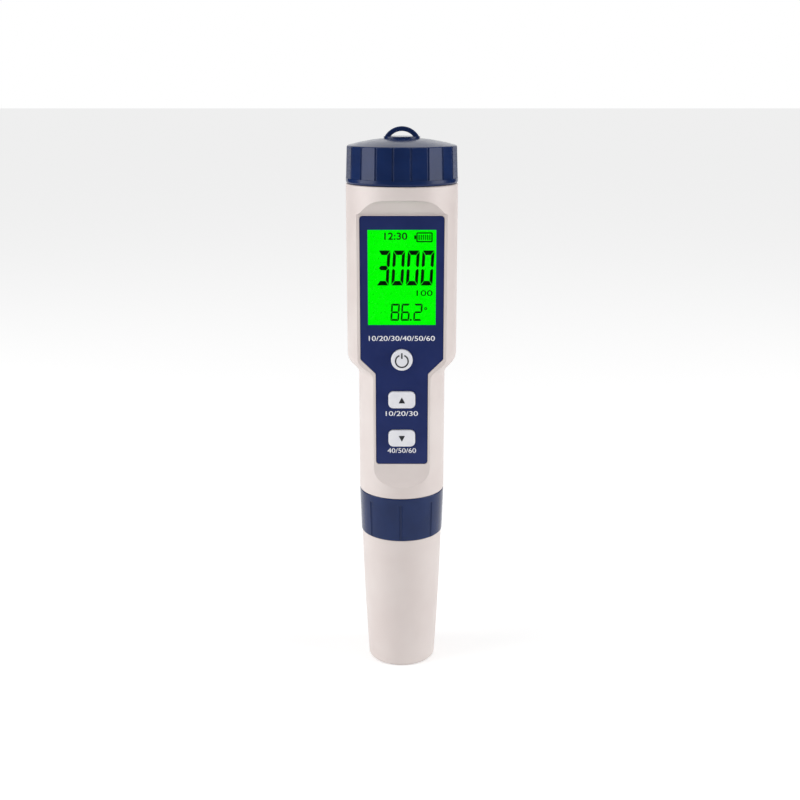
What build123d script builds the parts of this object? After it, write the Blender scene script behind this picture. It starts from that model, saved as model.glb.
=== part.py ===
from build123d import *
import os
from math import atan2, cos, degrees, hypot, radians, sin, sqrt

# Salinity tester pen. A tubular meter with a screw battery cap on top, a plug-in probe under a
# screw collar, and a push-on protective cap that the pen stands on.
# Millimetres, +Z up, the display faces -Y, origin at the centre of the foot.

# Clearances
fit_gap = 0.1
running_gap = 0.05
bay_gap = 0.15
key_gap = 0.15
seat_gap = 0.3
seal_gap = 0.08

# Heights, stacked from the foot up
protective_cap_height = 50.3
collar_height = 16.1
neck_height = 44.0
shoulder_height = 4.2
barrel_height = 60.4
cap_neck_height = 9.0
battery_cap_headroom = 1.9
battery_cap_top_wall = 1.6
battery_cap_dome_rise = 2.6
loop_rise = 3.65

collar_bottom = protective_cap_height
collar_top = collar_bottom + collar_height
neck_top = collar_top + neck_height
barrel_bottom = neck_top + shoulder_height
barrel_top = barrel_bottom + barrel_height
cap_neck_top = barrel_top + cap_neck_height
battery_cap_ceiling = cap_neck_top + battery_cap_headroom
battery_cap_side_top = battery_cap_ceiling + battery_cap_top_wall
dome_top = battery_cap_side_top + battery_cap_dome_rise

# Depths, from the flat front inwards
front_depth = 11.5
panel_sink = 0.1
panel_thickness = 1.0
adhesive_thickness = 0.15
ledge_thickness = 1.25
pane_thickness = 0.6
display_gap = 0.2
lcd_thickness = 1.8
backlight_thickness = 2.8
board_thickness = 1.2
boss_height = 2.0

panel_front_y = -front_depth + panel_sink
panel_back_y = panel_front_y + panel_thickness
ledge_front_y = panel_back_y + adhesive_thickness
ledge_back_y = ledge_front_y + ledge_thickness
pane_front_y = panel_back_y - pane_thickness
lcd_front_y = panel_back_y + display_gap
lcd_back_y = lcd_front_y + lcd_thickness
board_front_y = lcd_back_y + backlight_thickness
board_back_y = board_front_y + board_thickness
chassis_front_y = board_back_y + boss_height

# Batteries, side by side, and the chassis round them
cell_radius = 5.25
cell_length = 44.5
cell_edge = 0.4
nub_radius = 1.9
nub_height = 0.8
cell_proud = 0.8
cell_top_drop = 1.8
bay_web = 0.4
bay_wall = 1.0
bay_floor_thickness = 1.2
chassis_rim = 0.02
chassis_cup_wall = 1.0
chassis_deck_thickness = 1.2
flange_step = 1.0
flange_thickness = 1.0

bay_radius = cell_radius + bay_gap
bay_outer_radius = bay_radius + bay_wall
cell_x = bay_radius + bay_web / 2
cell_y = chassis_front_y + bay_outer_radius
cell_top = cap_neck_top - cell_top_drop
cell_bottom = cell_top - cell_length
deck_top = cell_top - cell_proud
deck_bottom = deck_top - chassis_deck_thickness
chassis_radius = hypot(cell_x, cell_y) + bay_outer_radius + chassis_rim
chassis_cup_bore = chassis_radius - chassis_cup_wall
flange_radius = chassis_radius + flange_step

# Leaf contacts under the cells
leaf_thickness = 0.4
leaf_width = 4.4
leaf_rise = 4.7
leaf_tab_height = 3.0
leaf_slot_height = 0.9
leaf_heel = 3.4
leaf_knee_rise = 1.2
leaf_toe = 3.2
leaf_toe_drop = 0.9

bay_floor = cell_bottom - leaf_rise

# Housing, its upper end made round the chassis
housing_wall = 2.0
cap_neck_wall = 1.8
cap_seat_width = 3.7
neck_radius = 15.14
shoulder_lower_fillet = 3.5
shoulder_upper_fillet = 5.0
housing_top_wall = 2.6
top_draft_height = 4.0
spigot_length = 9.4
partition_height = 1.8
partition_thickness = 2.0
barrel_edge_fillet = 0.4
neck_edge_fillet = 0.3

cap_neck_bore = chassis_radius + seat_gap
cap_neck_radius = cap_neck_bore + cap_neck_wall
barrel_radius = cap_neck_radius + cap_seat_width
spigot_bottom = collar_top - spigot_length
partition_bottom = collar_top + partition_height
partition_top = partition_bottom + partition_thickness

# Flat front face with a ramp above and below it
top_ramp_rise = 5.2
top_ramp_lip = 2.2
top_ramp_cove = 3.8
low_ramp_drop = 6.5
low_ramp_straight = 3.9
flat_top_margin = 0.5
flat_low_margin = 1.3

barrel_flat_width = 2 * sqrt(barrel_radius**2 - front_depth**2)
neck_flat_width = 2 * sqrt(neck_radius**2 - front_depth**2)

# Panel, from a little above the collar to a little below the battery cap
panel_top_margin = 10.0
panel_shoulder_rise = 1.5
panel_slant_height = 5.1
panel_low_margin = 12.0
panel_side_margin = 1.1
panel_waist_margin = 0.9
panel_corner_radius = 1.1
ledge_width = 1.15

panel_top = barrel_top - panel_top_margin
panel_shoulder = barrel_bottom + panel_shoulder_rise
panel_waist = panel_shoulder - panel_slant_height
panel_bottom = collar_top + panel_low_margin
panel_wide_width = barrel_flat_width - 2 * panel_side_margin
panel_narrow_width = neck_flat_width - 2 * panel_waist_margin

# Display
window_drop = 4.6
window_low_margin = 12.0
window_side_margin = 2.65
pane_lap = 0.9
lcd_side_margin = 0.5
lcd_top_margin = 1.0
lcd_contact_margin = 3.35
backlight_gap = 0.3
zebra_height = 2.0
frame_side_wall = 0.6
frame_end_wall = 0.8

window_top = panel_top - window_drop
window_bottom = panel_shoulder + window_low_margin
window_height = window_top - window_bottom
window_width = panel_wide_width - 2 * window_side_margin
lcd_top = window_top + lcd_top_margin
lcd_bottom = window_bottom - lcd_contact_margin
lcd_width = window_width + 2 * lcd_side_margin
frame_bore_width = lcd_width + 2 * fit_gap
frame_bore_height = lcd_top - lcd_bottom + 2 * fit_gap

# Keys: the power key by the panel's shoulder, the down key above its lower end, the up key between
power_key_radius = 3.7
power_key_drop = 0.1
arrow_key_width = 9.3
arrow_key_height = 5.9
arrow_key_corner = 1.7
up_key_drop = 0.15
down_key_rise = 9.5
key_proud = 1.1
key_edge_fillet = 0.45
key_flange_lip = 0.8
key_flange_thickness = 0.8
key_stem_radius = 1.6
key_stem_length = 0.7
key_travel = 0.4

power_key_z = panel_shoulder - power_key_drop
down_key_z = panel_bottom + down_key_rise
up_key_z = (power_key_z + down_key_z) / 2 - up_key_drop
key_front_y = panel_front_y - key_proud
flange_back_y = panel_back_y + key_flange_thickness
stem_front_y = flange_back_y + key_stem_length

# Switches on the board
switch_side = 6.0
switch_height = 2.5
switch_stem_radius = 1.75
switch_stem_length = 2.0
switch_floor_gap = 0.1

stem_back_y = stem_front_y + switch_stem_length
switch_front_y = board_front_y - switch_height
switch_pocket_y = stem_back_y + key_travel + switch_floor_gap

# Board, as wide as the display's frame and narrower behind the arrow keys
board_top_drop = 1.8
board_side_margin = 0.1
board_waist_margin = 1.45
board_screw_margin = 3.0
board_slant_height = 5.2
board_tail_rise = 0.1
board_hole_radius = 1.1
chip_side = 7.0
chip_thickness = 1.0
chip_drop = 15.0

# Board screws: two under the display, two between the arrow keys
screw_head_radius = 1.9
screw_head_height = 1.2
screw_shank_radius = 0.95
screw_length = 3.0
screw_frame_gap = 1.25
upper_screw_margin = 3.3
lower_screw_margin = 2.3
lower_screw_rise = 7.0
boss_radius = 2.0
boss_hole_radius = 1.0

board_wide_width = frame_bore_width + 2 * frame_side_wall + 2 * board_side_margin
board_waist_width = panel_narrow_width - 2 * board_waist_margin
upper_screw_x = board_wide_width / 2 - upper_screw_margin
upper_screw_z = lcd_bottom - frame_end_wall - screw_frame_gap - screw_head_radius
lower_screw_x = board_waist_width / 2 - lower_screw_margin
lower_screw_z = down_key_z + lower_screw_rise
board_top = panel_top - board_top_drop
board_shoulder = upper_screw_z - board_screw_margin
board_waist = board_shoulder - board_slant_height
board_tail = panel_bottom + board_tail_rise

# Rails and spine of the chassis, behind the board
rail_margin = 2.6
rail_width = 1.2
spine_thickness = 1.8
spine_wide_margin = 1.3
spine_narrow_margin = 1.0
spine_step_drop = 0.8
spine_screw_margin = 9.9
spine_rib_width = 1.2
spine_rib_depth = 3.0
hook_width = 8.0
hook_height = 1.4
hook_reach = 0.8

rail_x = board_wide_width / 2 - rail_margin
spine_wide_width = board_wide_width - 2 * spine_wide_margin
spine_narrow_width = board_waist_width - 2 * spine_narrow_margin
spine_step_z = board_shoulder - spine_step_drop
spine_bottom = lower_screw_z - spine_screw_margin

# Battery cap
battery_cap_step = 0.05
battery_cap_taper = 0.35
battery_cap_band = 1.95
battery_cap_thread_room = 1.1
battery_cap_edge_fillet = 0.9
battery_cap_foot_fillet = 1.0
grip_facet_count = 20
grip_groove_radius = 0.4
grip_groove_depth = 0.35
cap_boss_radius = 4.0
stake_radius = 0.85
stake_head_radius = 1.3
stake_head_height = 0.4
contact_plate_margin = 0.9
contact_plate_thickness = 0.4
loop_boss_radius = 6.15
loop_boss_rise = 0.35
loop_width = 12.0
loop_depth = 2.4
loop_opening_width = 7.6
loop_opening_height = 1.75
loop_edge_fillet = 0.45

battery_cap_radius = barrel_radius - battery_cap_step
battery_cap_top_radius = battery_cap_radius - battery_cap_taper
battery_cap_bore = cap_neck_radius + battery_cap_thread_room
contact_plate_radius = chassis_cup_bore - contact_plate_margin

# O-rings
neck_seal_section = 0.75
neck_seal_rise = 1.6
plug_seal_section = 0.75
plug_seal_rise = 4.2
probe_cap_seal_section = 0.75
probe_cap_seal_drop = 4.3

# Collar, as wide as the neck at its top
collar_taper = 0.5
collar_wall = 0.74
collar_thread_room = 0.8
collar_edge_fillet = 0.5
collar_groove_count = 8
collar_groove_radius = 0.7
collar_groove_depth = 0.4
collar_groove_margin = 2.6
collar_groove_phase = -1.3

collar_bottom_radius = neck_radius - collar_taper
collar_bore = collar_bottom_radius - collar_wall
spigot_radius = collar_bore - collar_thread_room
spigot_bore = spigot_radius - housing_wall

# Protective cap, a little narrower than the collar
protective_mouth_step = 0.29
protective_taper = 2.25
protective_bulge = 0.24
protective_wall = 1.6
protective_floor = 2.0
protective_foot_fillet = 1.2
sponge_height = 6.0

protective_mouth_radius = collar_bottom_radius - protective_mouth_step
protective_foot_radius = protective_mouth_radius - protective_taper
sponge_radius = protective_foot_radius - protective_wall - seat_gap
sponge_top = protective_floor + sponge_height

# Probe
probe_flange_thickness = 2.0
probe_plug_rise = 8.0
probe_shank_gap = 0.55
probe_shank_length = 10.3
probe_taper_height = 4.0
probe_sleeve_step = 1.6
probe_tip_gap = 6.0
sample_cup_wall = 1.6
sample_cup_depth = 14.0
guard_slot_count = 4
guard_slot_width = 4.5
guard_slot_height = 9.0
bulb_radius = 3.0
bulb_stem_radius = 2.5
bulb_recess = 2.0
bulb_seat_depth = 6.0
bulb_y = -4.2
junction_radius = 1.0
junction_x = -5.0
junction_y = -2.6
junction_proud = 0.6
electrode_radius = 0.75
electrode_x = 4.8
electrode_y = 1.6
electrode_reach = 9.0
thermo_radius = 1.25
thermo_y = 6.2
thermo_reach = 10.0
sensor_seat_depth = 3.0
pin_count = 6
pin_circle = 3.4
pin_radius = 0.5
pin_reach = 9.0
pin_seat_depth = 2.0

probe_shank_radius = protective_mouth_radius - protective_wall - probe_shank_gap
probe_shank_bottom = protective_cap_height - probe_shank_length
probe_sleeve_radius = probe_shank_radius - probe_sleeve_step
probe_tip = sponge_top + probe_tip_gap
probe_flange_bottom = spigot_bottom - probe_flange_thickness
probe_plug_top = spigot_bottom + probe_plug_rise
sample_cup_radius = probe_sleeve_radius - sample_cup_wall
sample_cup_top = probe_tip + sample_cup_depth
lip_bore = probe_shank_radius + seat_gap

# Socket and flat cable
socket_radius = 6.2
socket_height = 9.0
socket_flange_radius = 7.6
socket_flange_thickness = 1.5
socket_pin_depth = 7.8
flex_thickness = 0.3
flex_width = 8.0
flex_start_y = -2.0
flex_start_rise = 0.8
flex_land = 5.5
flex_land_start = 1.0


def turned(*points):
    """A solid of revolution about Z from (radius, height) points."""
    return revolve(Plane.XZ * make_face(Polyline(*points, close=True)), Axis.Z)


def front_slab(outline, z, front_y, back_y, x=0):
    """An outline in the front view, as a slab between two depths."""
    plane = Plane(origin=(x, back_y, z), x_dir=(1, 0, 0), z_dir=(0, -1, 0))
    return extrude(plane * outline, amount=back_y - front_y)


def rod(radius, bottom, top, x=0, y=0):
    """A vertical cylinder between two heights."""
    return Pos(x, y, bottom) * Cylinder(radius, top - bottom, align=(Align.CENTER, Align.CENTER, Align.MIN))


def front_rod(radius, front_y, back_y, x, z):
    """A cylinder that lies along Y between two depths."""
    return front_slab(Circle(radius), z, front_y, back_y, x)


def strip(points, thickness, width, x=0):
    """A folded strip of sheet that follows (y, z) points, centred on x."""
    face = Plane.YZ * trace(Polyline(*points), line_width=thickness)
    return Pos(x, 0, 0) * extrude(face, amount=width / 2, both=True)


def tee_outline(grow=0.0, corner=0.0):
    """The outline of the panel: wide at the display, narrow at the arrow keys."""
    wide = panel_wide_width / 2
    narrow = panel_narrow_width / 2
    half = [
        (wide, panel_top),
        (wide, panel_shoulder),
        (narrow, panel_waist),
        (narrow, panel_bottom),
    ]
    other = [(-x, z) for x, z in reversed(half)]
    face = make_face(Polyline(*half, *other, close=True))
    if grow:
        face = offset(face, amount=grow, kind=Kind.INTERSECTION)
    return fillet(face.vertices(), corner) if corner else face


def front_cutter(flat_y, low_z, high_z):
    """What is cut off in front of the flat, with a hollow ramp out to the tube at each end."""
    reach = 2 * barrel_radius
    ramp_low_z = low_z - low_ramp_drop
    ramp_high_z = high_z + top_ramp_rise
    low_ramp = Bezier(
        (flat_y - neck_radius + front_depth, ramp_low_z),
        (flat_y, low_z - low_ramp_straight),
        (flat_y, low_z),
    )
    top_ramp = Bezier(
        (flat_y, high_z),
        (flat_y - top_ramp_lip, high_z),
        (flat_y - top_ramp_cove, ramp_high_z),
        (flat_y - barrel_radius + front_depth, ramp_high_z),
    )
    outside = Polyline(top_ramp @ 1, (-reach, ramp_high_z), (-reach, ramp_low_z), low_ramp @ 0)
    path = [low_ramp, Line(low_ramp @ 1, top_ramp @ 0), top_ramp, outside]
    return extrude(Plane.YZ * make_face(path), amount=reach, both=True)


def housing_shape(shift, bottom, top):
    """The tube with its shoulder, grown or shrunk by a shift of its wall, without the flat."""
    path = FilletPolyline(
        (0, bottom),
        (neck_radius + shift, bottom),
        (neck_radius + shift, neck_top),
        (barrel_radius + shift, barrel_bottom),
        (barrel_radius + shift, top),
        (0, top),
        radius=[0, shoulder_lower_fillet, shoulder_upper_fillet, 0],
    )
    return revolve(Plane.XZ * make_face([path, Line(path @ 1, path @ 0)]), Axis.Z)


def make_housing():
    """Tubular moulding: barrel, shoulder and neck, with the cap's neck and the probe's spigot."""
    flat_low = panel_bottom - flat_low_margin
    flat_high = panel_top + flat_top_margin
    shell = housing_shape(0, collar_top, barrel_top)
    shell = fillet(shell.edges().filter_by(GeomType.CIRCLE).sort_by(Axis.Z)[-1], barrel_edge_fillet)
    shell = fillet(shell.edges().filter_by(GeomType.CIRCLE).sort_by(Axis.Z)[0], neck_edge_fillet)
    shell -= front_cutter(-front_depth, flat_low, flat_high)
    shell += rod(cap_neck_radius, barrel_top - housing_wall, cap_neck_top)
    shell += rod(spigot_radius, spigot_bottom, collar_top + neck_edge_fillet + partition_height)
    cavity_top = barrel_top - housing_top_wall
    cavity = housing_shape(-housing_wall, partition_top, cavity_top - top_draft_height)
    cavity += turned(
        (0, cavity_top - top_draft_height),
        (barrel_radius - housing_wall, cavity_top - top_draft_height),
        (cap_neck_bore, cavity_top),
        (0, cavity_top),
    )
    cavity -= front_cutter(ledge_back_y, flat_low - housing_wall, flat_high + housing_wall)
    shell -= cavity
    shell -= rod(cap_neck_bore, cavity_top - top_draft_height, cap_neck_top)
    shell -= rod(flange_radius + fit_gap, cap_neck_top - flange_thickness, cap_neck_top)
    shell -= rod(spigot_bore, spigot_bottom, partition_bottom)
    shell -= rod(socket_radius + fit_gap, partition_bottom, partition_top)
    pocket = tee_outline(fit_gap, panel_corner_radius)
    shell -= front_slab(pocket, 0, -barrel_radius, ledge_front_y)
    opening = tee_outline(-ledge_width, panel_corner_radius)
    shell -= front_slab(opening, 0, -barrel_radius, ledge_back_y + fit_gap)
    groove_z = barrel_top + neck_seal_rise
    shell -= seal_groove(cap_neck_radius, groove_z, neck_seal_section)
    return shell


def seal_groove(surface_radius, z, section):
    """A square groove in a shaft for an O-ring that stands a third of its section proud."""
    depth = 4 * section / 3
    half = section + running_gap
    outside = turned(
        (surface_radius - depth, z - half),
        (surface_radius + section, z - half),
        (surface_radius + section, z + half),
        (surface_radius - depth, z + half),
    )
    return outside


def seal_ring(groove_radius, outer_radius, z, section):
    """An O-ring between the floor of its groove and its outer radius, a little flattened."""
    width = outer_radius - groove_radius
    middle = (outer_radius + groove_radius) / 2
    rounding = 0.45 * min(width, 2 * section)
    ring = Plane.XZ * Pos(middle, z) * RectangleRounded(width, 2 * section, rounding)
    return revolve(ring, Axis.Z)


def make_panel():
    """Plate with the window rebated from behind and a hole for each key."""
    plate = front_slab(tee_outline(0, panel_corner_radius), 0, panel_front_y, panel_back_y)
    middle = (window_top + window_bottom) / 2
    plate -= front_slab(Rectangle(window_width, window_height), middle, panel_front_y, panel_back_y)
    plate -= front_slab(pane_outline(pane_lap + fit_gap / 2), middle, pane_front_y, panel_back_y)
    for outline, z in key_places(key_gap):
        plate -= front_slab(outline, z, panel_front_y, panel_back_y)
    return plate


def pane_outline(lap):
    """The window's rectangle, with a lap on every side."""
    return Rectangle(window_width + 2 * lap, window_height + 2 * lap)


def key_outline(name, grow):
    """The front outline of a key, grown on every side."""
    if name == "power":
        return Circle(power_key_radius + grow)
    width = arrow_key_width + 2 * grow
    height = arrow_key_height + 2 * grow
    return RectangleRounded(width, height, arrow_key_corner + grow)


key_heights = {"power": power_key_z, "up": up_key_z, "down": down_key_z}


def key_places(grow):
    """The outline and height of each key."""
    return [(key_outline(name, grow), z) for name, z in key_heights.items()]


def make_key(name):
    """A key: domed cap, flange that keeps it behind the panel, and a stem on the switch."""
    z = key_heights[name]
    cap = front_slab(key_outline(name, 0), z, key_front_y, panel_back_y)
    front_edges = cap.faces().sort_by(Axis.Y)[0].edges()
    cap = fillet(front_edges, key_edge_fillet)
    flange = front_slab(key_outline(name, key_flange_lip), z, panel_back_y, flange_back_y)
    return cap + flange + front_rod(key_stem_radius, flange_back_y, stem_front_y, 0, z)


def make_switch_stem(name):
    """The plunger of one switch, which rides on the stem of its key."""
    return front_rod(switch_stem_radius, stem_front_y, stem_back_y, 0, key_heights[name])


def make_switch_bodies():
    """Three square switches on the board, each bored for its plunger."""
    bodies = []
    for z in key_heights.values():
        body = front_slab(Rectangle(switch_side, switch_side), z, switch_front_y, board_front_y)
        bore = front_rod(switch_stem_radius + running_gap, switch_front_y, switch_pocket_y, 0, z)
        bodies.append(body - bore)
    return bodies


def make_display_frame():
    """Rectangular frame round the display, its contact strip and its light guide."""
    bore = Rectangle(frame_bore_width, frame_bore_height)
    outer = Rectangle(frame_bore_width + 2 * frame_side_wall, frame_bore_height + 2 * frame_end_wall)
    return front_slab(outer - bore, (lcd_top + lcd_bottom) / 2, lcd_front_y, board_front_y)


def make_lcd():
    """The display's glass."""
    outline = Rectangle(lcd_width, lcd_top - lcd_bottom)
    return front_slab(outline, (lcd_top + lcd_bottom) / 2, lcd_front_y, lcd_back_y)


def make_zebra():
    """The contact strip under the lower edge of the glass."""
    z = lcd_bottom + zebra_height / 2
    return front_slab(Rectangle(lcd_width, zebra_height), z, lcd_back_y, board_front_y)


def make_backlight():
    """The light guide behind the rest of the glass."""
    low = lcd_bottom + zebra_height + backlight_gap
    outline = Rectangle(lcd_width, lcd_top - low)
    return front_slab(outline, (lcd_top + low) / 2, lcd_back_y, board_front_y)


screw_places = [
    (upper_screw_x, upper_screw_z),
    (-upper_screw_x, upper_screw_z),
    (lower_screw_x, lower_screw_z),
    (-lower_screw_x, lower_screw_z),
]


def make_board():
    """Circuit board in the shape of the panel, with four screw holes."""
    wide = board_wide_width / 2
    narrow = board_waist_width / 2
    half = [(wide, board_top), (wide, board_shoulder), (narrow, board_waist), (narrow, board_tail)]
    other = [(-x, z) for x, z in reversed(half)]
    outline = make_face(Polyline(*half, *other, close=True))
    board = front_slab(outline, 0, board_front_y, board_back_y)
    for x, z in screw_places:
        board -= front_rod(board_hole_radius, board_front_y, board_back_y, x, z)
    return board


def make_board_screws():
    """Pan-head screws through the board into the chassis."""
    screws = []
    for x, z in screw_places:
        head = front_rod(screw_head_radius, board_front_y - screw_head_height, board_front_y, x, z)
        head = fillet(head.faces().sort_by(Axis.Y)[0].edges(), screw_head_height / 2)
        screws.append(head + front_rod(screw_shank_radius, board_front_y, board_front_y + screw_length, x, z))
    return screws


def bay_block(radius, bottom, top):
    """A stadium that wraps both cells, between two heights."""
    outline = SlotCenterToCenter(2 * cell_x, 2 * radius)
    return extrude(Pos(0, cell_y, bottom) * outline, amount=top - bottom)


def make_chassis():
    """Two-cell battery bay that drops in from the top, with a spine and rails for the board."""
    bay = bay_block(bay_outer_radius, bay_floor - bay_floor_thickness, deck_bottom)
    deck = rod(chassis_radius, deck_bottom, cap_neck_top)
    flange = rod(flange_radius, cap_neck_top - flange_thickness, cap_neck_top)
    chassis = bay + deck + flange
    chassis -= rod(chassis_cup_bore, deck_top, cap_neck_top)
    for side in (-1, 1):
        chassis += rail(side)
        chassis -= rod(bay_radius, bay_floor, cap_neck_top, side * cell_x, cell_y)
    spine_top = bay_floor
    spine_back = chassis_front_y + spine_thickness
    for width, low in ((spine_wide_width, spine_step_z), (spine_narrow_width, spine_bottom)):
        plate = Rectangle(width, spine_top - low)
        chassis += front_slab(plate, (spine_top + low) / 2, chassis_front_y, spine_back)
    for side in (-1, 1):
        rib = Rectangle(spine_rib_width, spine_top - spine_bottom)
        rib_x = side * (spine_narrow_width - spine_rib_width) / 2
        rib_z = (spine_top + spine_bottom) / 2
        chassis += front_slab(rib, rib_z, spine_back, spine_back + spine_rib_depth, rib_x)
    for x, z in screw_places:
        chassis += front_rod(boss_radius, board_back_y, chassis_front_y, x, z)
        hole_end = board_front_y + screw_length + fit_gap
        chassis -= front_rod(boss_hole_radius, board_back_y, hole_end, x, z)
    chassis += hook()
    for side in (-1, 1):
        slot = Rectangle(leaf_width + 2 * fit_gap, leaf_slot_height)
        slot_z = bay_floor + leaf_slot_height / 2
        chassis -= front_slab(slot, slot_z, chassis_front_y - 1, cell_y, side * cell_x)
    return chassis


def rail(side):
    """One of the two rails that the back of the board rests on."""
    low = bay_floor - bay_floor_thickness
    plate = Rectangle(rail_width, board_top - low)
    return front_slab(plate, (board_top + low) / 2, board_back_y, cell_y, side * rail_x)


def hook():
    """The hook over the top edge of the board."""
    low = board_top + fit_gap
    z = low + hook_height / 2
    reach_y = board_front_y - fit_gap
    arm = front_slab(Rectangle(hook_width, hook_height), z, reach_y - hook_reach, chassis_front_y + bay_wall)
    nose_z = low + (hook_height - hook_reach) / 2
    nose = front_slab(Rectangle(hook_width, hook_height + hook_reach), nose_z, reach_y - hook_reach, reach_y)
    return arm + nose


def make_cell(side, nub_up):
    """An AAA cell, turned from its outline."""
    body = turned(
        (0, 0),
        (cell_radius - cell_edge, 0),
        (cell_radius, cell_edge),
        (cell_radius, cell_length - nub_height - cell_edge),
        (cell_radius - cell_edge, cell_length - nub_height),
        (nub_radius, cell_length - nub_height),
        (nub_radius, cell_length),
        (0, cell_length),
    )
    if nub_up:
        return Pos(side * cell_x, cell_y, cell_bottom) * body
    return Pos(side * cell_x, cell_y, cell_top) * Rot(180, 0, 0) * body


def make_leaf(side):
    """Folded leaf contact under a cell, with a tab up the back of the board."""
    half = leaf_thickness / 2
    tab_y = board_back_y + half
    low_z = bay_floor + half
    heel_y = cell_y + leaf_heel
    points = [
        (tab_y, low_z + leaf_tab_height),
        (tab_y, low_z),
        (heel_y, low_z),
        (heel_y, low_z + leaf_knee_rise),
        (cell_y, cell_bottom - half - running_gap),
        (cell_y - leaf_toe, cell_bottom - half - running_gap - leaf_toe_drop),
    ]
    return strip(points, leaf_thickness, leaf_width, side * cell_x)


def make_battery_cap():
    """Faceted screw cap with a shallow dome, a stake for the contact plate and a lanyard loop."""
    band_top = barrel_top + battery_cap_band
    side = Polyline(
        (0, barrel_top),
        (battery_cap_radius, barrel_top),
        (battery_cap_radius, band_top),
        (battery_cap_top_radius, battery_cap_side_top),
    )
    dome_end = (-battery_cap_top_radius, battery_cap_side_top)
    whole_dome = ThreePointArc((battery_cap_top_radius, battery_cap_side_top), (0, dome_top), dome_end)
    dome = whole_dome.trim(0, 0.5)
    face = make_face([side, dome, Line(dome @ 1, (0, barrel_top))])
    corner = face.vertices().sort_by_distance((battery_cap_top_radius, battery_cap_side_top))[0]
    face = fillet(corner, battery_cap_edge_fillet)
    foot = face.vertices().sort_by_distance((battery_cap_radius, barrel_top))[0]
    face = fillet(foot, battery_cap_foot_fillet)
    cap = revolve(Plane.XZ * face, Axis.Z)
    cap -= grip_cutters(band_top)
    cap -= rod(battery_cap_bore, barrel_top, battery_cap_ceiling)
    plate_top = cell_top + contact_plate_thickness
    cap += rod(cap_boss_radius, plate_top, battery_cap_side_top)
    cap += rod(stake_radius, cell_top, plate_top)
    cap += rod(stake_head_radius, cell_top - stake_head_height, cell_top)
    return cap + make_loop()


def grip_cutters(band_top):
    """Cutters for the flat grip facets and the narrow grooves between them, along the taper."""
    side_height = battery_cap_side_top - band_top
    cut_height = side_height + battery_cap_dome_rise
    tilt = degrees(atan2(battery_cap_taper, side_height))
    step_angle = 360 / grip_facet_count
    apothem = battery_cap_radius * cos(radians(step_angle / 2))
    half_width = battery_cap_radius * sin(radians(step_angle / 2))
    slab = Box(
        battery_cap_radius, 2 * half_width, cut_height, align=(Align.MIN, Align.CENTER, Align.MIN)
    )
    facet = Pos(apothem, 0, band_top) * Rot(0, -tilt, 0) * slab
    upright = Cylinder(grip_groove_radius, cut_height, align=(Align.CENTER, Align.CENTER, Align.MIN))
    groove_distance = battery_cap_radius - grip_groove_depth + grip_groove_radius
    groove = Pos(groove_distance, 0, band_top) * Rot(0, -tilt, 0) * upright
    cutters = []
    for step in range(grip_facet_count):
        cutters.append(Rot(0, 0, -90 + step * step_angle) * facet)
        cutters.append(Rot(0, 0, -90 + (step + 0.5) * step_angle) * groove)
    return cutters


def make_loop():
    """Lanyard arch on a low round boss."""
    base = dome_top - loop_boss_rise
    boss_top = dome_top + loop_boss_rise
    boss = rod(loop_boss_radius, base - loop_boss_rise, boss_top)
    outer = SagittaArc((loop_width / 2, dome_top), (-loop_width / 2, dome_top), -loop_rise)
    foot = Polyline(outer @ 1, (-loop_width / 2, base), (loop_width / 2, base), outer @ 0)
    arch = extrude(Plane.XZ * make_face([outer, foot]), amount=loop_depth / 2, both=True)
    crown = arch.edges().filter_by(GeomType.CIRCLE)
    arch = fillet(crown, loop_edge_fillet)
    half = loop_opening_width / 2
    inner = SagittaArc((half, boss_top), (-half, boss_top), -loop_opening_height)
    opening = make_face([inner, Line(inner @ 1, inner @ 0)])
    return boss + arch - extrude(Plane.XZ * opening, amount=loop_depth, both=True)


def make_contact_plate():
    """Disc that joins the cells, loose on the cap's stake so that the cap turns on it."""
    plate = rod(contact_plate_radius, cell_top, cell_top + contact_plate_thickness)
    return plate - rod(stake_radius + running_gap, cell_top, cell_top + contact_plate_thickness)


def make_collar():
    """Screw collar, tapered and grooved, with a lip that carries the probe's flange."""
    bottom_face = (collar_bottom_radius, collar_bottom)
    top_face = (neck_radius, collar_top)
    path = FilletPolyline(
        (lip_bore, collar_bottom),
        bottom_face,
        top_face,
        (collar_bore, collar_top),
        radius=[collar_edge_fillet, neck_edge_fillet],
    )
    inside = Polyline(
        path @ 1,
        (collar_bore, probe_flange_bottom),
        (lip_bore, probe_flange_bottom),
        path @ 0,
    )
    collar = revolve(Plane.XZ * make_face([path, inside]), Axis.Z)
    tilt = degrees(atan2(collar_taper, collar_height))
    reach = collar_height - collar_groove_margin
    upright = Cylinder(collar_groove_radius, 2 * reach, align=Align.CENTER)
    distance = collar_bottom_radius - collar_groove_depth + collar_groove_radius
    cutter = Pos(distance, 0, collar_bottom) * Rot(0, tilt, 0) * upright
    for step in range(collar_groove_count):
        angle = -90 + collar_groove_phase + step * 360 / collar_groove_count
        collar -= Rot(0, 0, angle) * cutter
    return collar


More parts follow.
